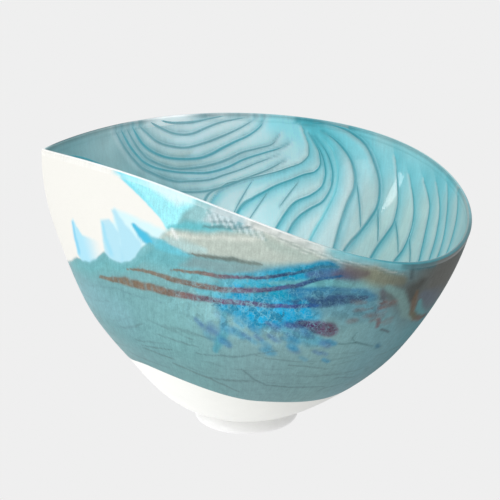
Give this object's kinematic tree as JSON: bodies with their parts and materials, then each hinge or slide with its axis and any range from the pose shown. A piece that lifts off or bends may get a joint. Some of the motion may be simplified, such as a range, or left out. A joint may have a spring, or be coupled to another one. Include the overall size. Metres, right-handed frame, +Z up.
{
  "type": "art glass bowl",
  "caption": "Free-standing blown art glass bowl with a pointed prow, a wavy lip, a turquoise overlay on opal glass, feathered lining and a small solid foot.",
  "frame": {"origin": "centre of the foot's flat ground face", "axes": "+Z up out of the bowl, -X towards the pointed prow, -Y the front flank with the ivory panel and copper trails"},
  "size_m": [0.2754, 0.2503, 0.1888],
  "materials": {
    "opal_glass": "gloss",
    "ivory_glass": "gloss",
    "turquoise_glass": "gloss with a faint iridescence",
    "copper_glass": "satin with a metallic bloom",
    "rust_glass": "satin with a metallic bloom",
    "aqua_glass": "clear gloss over opal",
    "teal_glass": "gloss",
    "thread_glass": "gloss"
  },
  "bodies": {
    "root": {"foot": "opal_glass", "opal_core": "opal_glass", "white_panel": "ivory_glass", "turquoise_overlay": "turquoise_glass", "hook_trail": "rust_glass", "inner_casing": "aqua_glass", "lip": "teal_glass", "copper_trail_1": "copper_glass", "copper_trail_2": "copper_glass", "copper_trail_3": "copper_glass", "feather_thread_01": "thread_glass", "feather_thread_02": "thread_glass", "feather_thread_03": "thread_glass", "feather_thread_04": "thread_glass", "feather_thread_05": "thread_glass", "feather_thread_06": "thread_glass", "feather_thread_07": "thread_glass", "feather_thread_08": "thread_glass", "feather_thread_09": "thread_glass", "feather_thread_10": "thread_glass", "feather_thread_11": "thread_glass", "feather_thread_12": "thread_glass", "feather_thread_13": "thread_glass", "feather_thread_14": "thread_glass", "feather_thread_15": "thread_glass", "feather_thread_16": "thread_glass", "feather_thread_17": "thread_glass", "feather_thread_18": "thread_glass", "feather_thread_19": "thread_glass", "feather_thread_20": "thread_glass", "feather_thread_21": "thread_glass", "feather_thread_22": "thread_glass"}
  },
  "joints": []
}
